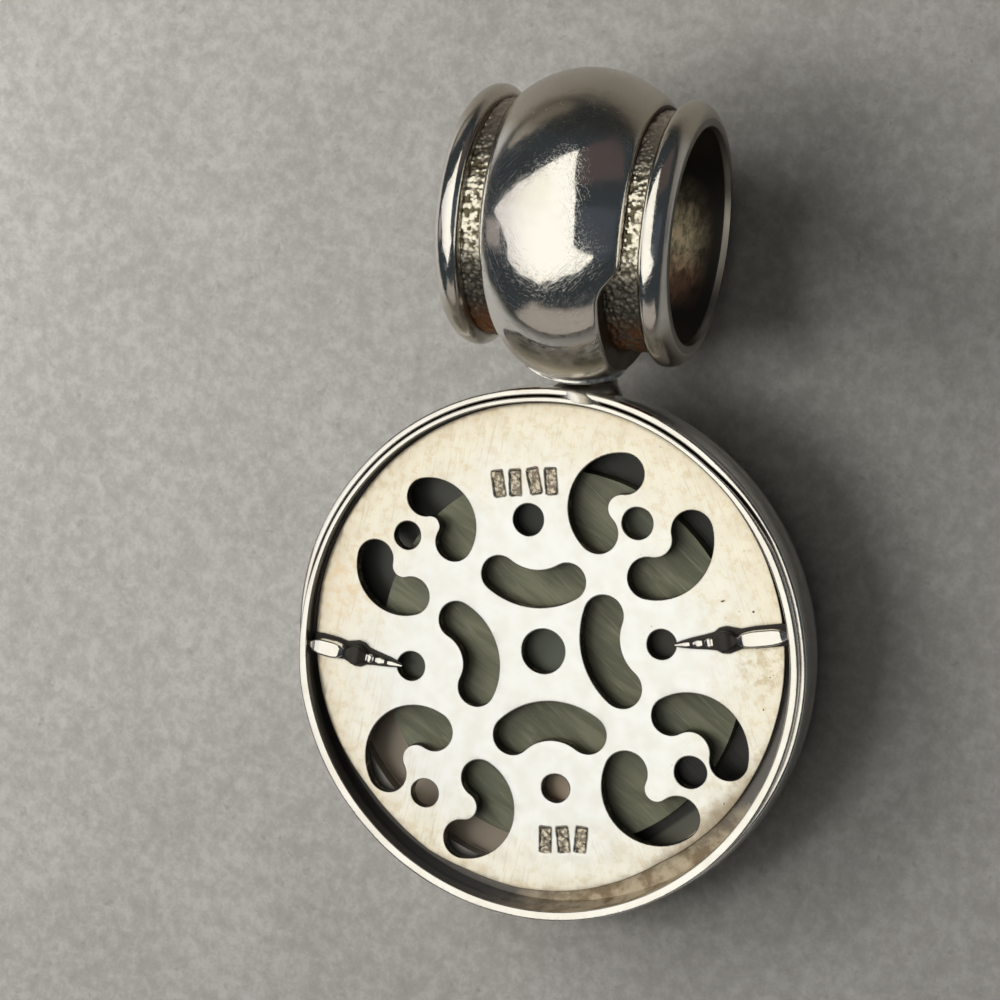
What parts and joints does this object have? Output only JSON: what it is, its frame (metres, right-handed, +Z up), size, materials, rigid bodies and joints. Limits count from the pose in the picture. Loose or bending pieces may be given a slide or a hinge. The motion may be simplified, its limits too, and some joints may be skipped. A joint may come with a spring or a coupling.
{
  "type": "cameo pendant",
  "caption": "Round pendant with a stone in a deep bezel, a pierced back plate and a wide barrel bail, lying face down.",
  "frame": {"origin": "middle of the object's outline seen from above, on the table's surface", "axes": "+Z up from the table, +Y from the round bezel towards the bail, +X along the bail's bore"},
  "size_m": [0.0248, 0.0388, 0.0139],
  "materials": {
    "polished_silver": "polished silver, darkened in the recesses",
    "satin_silver": "satin silver with fine scratches and warm tarnish towards the rim",
    "pin_silver": "polished silver wire",
    "carved_stone": "olive-grey carved stone with fine pale streaks, semi-matt"
  },
  "bodies": {
    "root": {"bezel_with_bail": "polished_silver", "back_plate": "satin_silver", "retaining_pin_left": "pin_silver", "retaining_pin_right": "pin_silver", "cameo": "carved_stone"}
  },
  "joints": []
}
